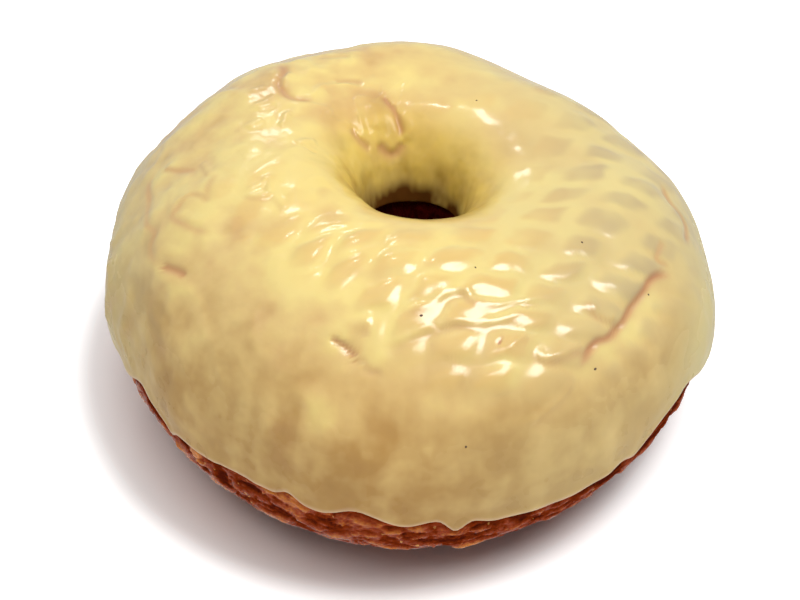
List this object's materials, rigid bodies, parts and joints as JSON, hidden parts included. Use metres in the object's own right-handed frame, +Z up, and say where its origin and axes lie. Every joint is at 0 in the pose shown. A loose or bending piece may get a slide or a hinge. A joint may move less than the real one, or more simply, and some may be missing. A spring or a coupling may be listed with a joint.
{
  "type": "iced ring doughnut",
  "caption": "Plump fried yeast ring with a narrow hole, coated over its upper side in glossy pale lemon icing pressed by a cooling rack, with a bare brown crust below.",
  "frame": {"origin": "on the resting surface, under the middle of the part's box; the hole's own axis stands 0.8 mm to the left of it", "axes": "+Z up through the hole, +X to the right and -Y towards the viewer of the picture"},
  "size_m": [0.0968, 0.0977, 0.0468],
  "materials": {
    "fried_crust": "fried dough crust, golden to dark brown, slightly oily",
    "lemon_icing": "glossy opaque icing, pale lemon yellow, tan where it is thin"
  },
  "bodies": {
    "root": {"dough_ring": "fried_crust", "lemon_icing": "lemon_icing"}
  },
  "joints": []
}
